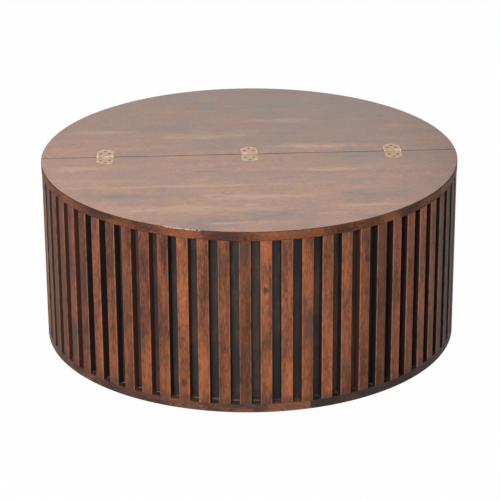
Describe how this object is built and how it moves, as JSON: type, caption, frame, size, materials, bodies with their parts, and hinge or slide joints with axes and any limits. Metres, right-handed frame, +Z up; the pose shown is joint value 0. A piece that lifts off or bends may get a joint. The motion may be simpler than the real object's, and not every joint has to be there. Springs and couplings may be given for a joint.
{
  "type": "round storage drum table",
  "caption": "Low round drum table with upright wooden slats all round and a split top, one half hinged as a lid over storage.",
  "frame": {"origin": "centre of the base ring, on the floor", "axes": "+Z up along the drum's axis; X along the seam between the two halves of the top; the opening half is on the -Y side"},
  "size_m": [0.9, 0.9, 0.404],
  "materials": {
    "top_wood": "chestnut stain, semi-gloss lacquer",
    "slat_wood": "chestnut stain, satin lacquer",
    "frame_wood": "dark chestnut stain, satin lacquer",
    "wall_ply": "black-brown stain, matt",
    "hinge_brass": "aged, brushed"
  },
  "bodies": {
    "drum": {"base_ring_segment_1": "frame_wood", "base_ring_segment_2": "frame_wood", "base_ring_segment_3": "frame_wood", "base_ring_segment_4": "frame_wood", "base_ring_segment_5": "frame_wood", "base_ring_segment_6": "frame_wood", "wall_panel_1": "wall_ply", "wall_panel_2": "wall_ply", "wall_panel_3": "wall_ply", "wall_panel_4": "wall_ply", "slats_01": "slat_wood", "slats_02": "slat_wood", "slats_03": "slat_wood", "slats_04": "slat_wood", "slats_05": "slat_wood", "slats_06": "slat_wood", "slats_07": "slat_wood", "slats_08": "slat_wood", "slats_09": "slat_wood", "slats_10": "slat_wood", "slats_11": "slat_wood", "top_ring_segment_1": "frame_wood", "top_ring_segment_2": "frame_wood", "top_ring_segment_3": "frame_wood", "top_ring_segment_4": "frame_wood", "top_ring_segment_5": "frame_wood", "top_ring_segment_6": "frame_wood", "floor_panel": "wall_ply", "floor_batten_1": "frame_wood", "floor_batten_2": "frame_wood", "seam_rail": "frame_wood", "fixed_top_board_1": "top_wood", "fixed_top_board_2": "top_wood", "fixed_top_board_3": "top_wood", "hinge_1_fixed_leaf": "hinge_brass", "hinge_2_fixed_leaf": "hinge_brass", "hinge_3_fixed_leaf": "hinge_brass", "hinge_1_pin": "hinge_brass", "hinge_2_pin": "hinge_brass", "hinge_3_pin": "hinge_brass"},
    "lid": {"lid_board_1": "top_wood", "lid_board_2": "top_wood", "lid_board_3": "top_wood", "lid_cleat_left": "frame_wood", "lid_cleat_right": "frame_wood", "hinge_1_lid_leaf": "hinge_brass", "hinge_2_lid_leaf": "hinge_brass", "hinge_3_lid_leaf": "hinge_brass"}
  },
  "joints": [
    {"name": "lid_hinge", "type": "hinge", "parent": "drum", "child": "lid", "pos_m": [0, 0, 0.401], "axis": [-1, 0, 0], "range_deg": [0, 180]}
  ]
}
